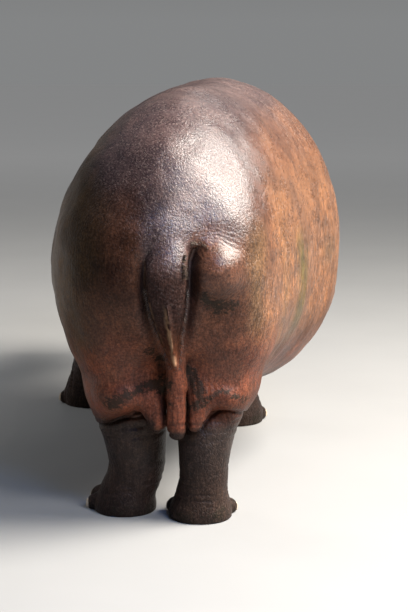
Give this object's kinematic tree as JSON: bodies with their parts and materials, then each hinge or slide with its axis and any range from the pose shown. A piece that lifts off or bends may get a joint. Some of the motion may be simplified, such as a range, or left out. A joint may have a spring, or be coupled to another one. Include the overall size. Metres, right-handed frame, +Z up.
{
  "type": "hippopotamus",
  "caption": "Life-size still figure of a standing adult hippopotamus with a fat barrel body, short legs, tail hanging down and head carried low.",
  "frame": {"origin": "centre of the bounding box at floor level", "axes": "+Z up, the head faces -Y, the tail is at +Y, +X is the animal's left"},
  "size_m": [1.2217, 3.3121, 1.5216],
  "materials": {
    "hide": "wet-looking bare skin, grey-brown with reddish brown lower parts",
    "head_hide": "wet-looking bare skin, pinker round the eyes, ears and mouth",
    "foot_hide": "dark grey-brown skin with pale nails",
    "eye": "glossy dark brown"
  },
  "bodies": {
    "root": {"trunk": "hide", "neck": "hide", "tail": "hide", "leg_hind_left": "hide", "leg_hind_right": "hide", "leg_front_left": "hide", "leg_front_right": "hide", "head": "head_hide", "lower_jaw": "head_hide", "ear_left": "head_hide", "ear_right": "head_hide", "foot_hind_left": "foot_hide", "foot_hind_right": "foot_hide", "foot_front_left": "foot_hide", "foot_front_right": "foot_hide", "eye_left": "eye", "eye_right": "eye"}
  },
  "joints": []
}
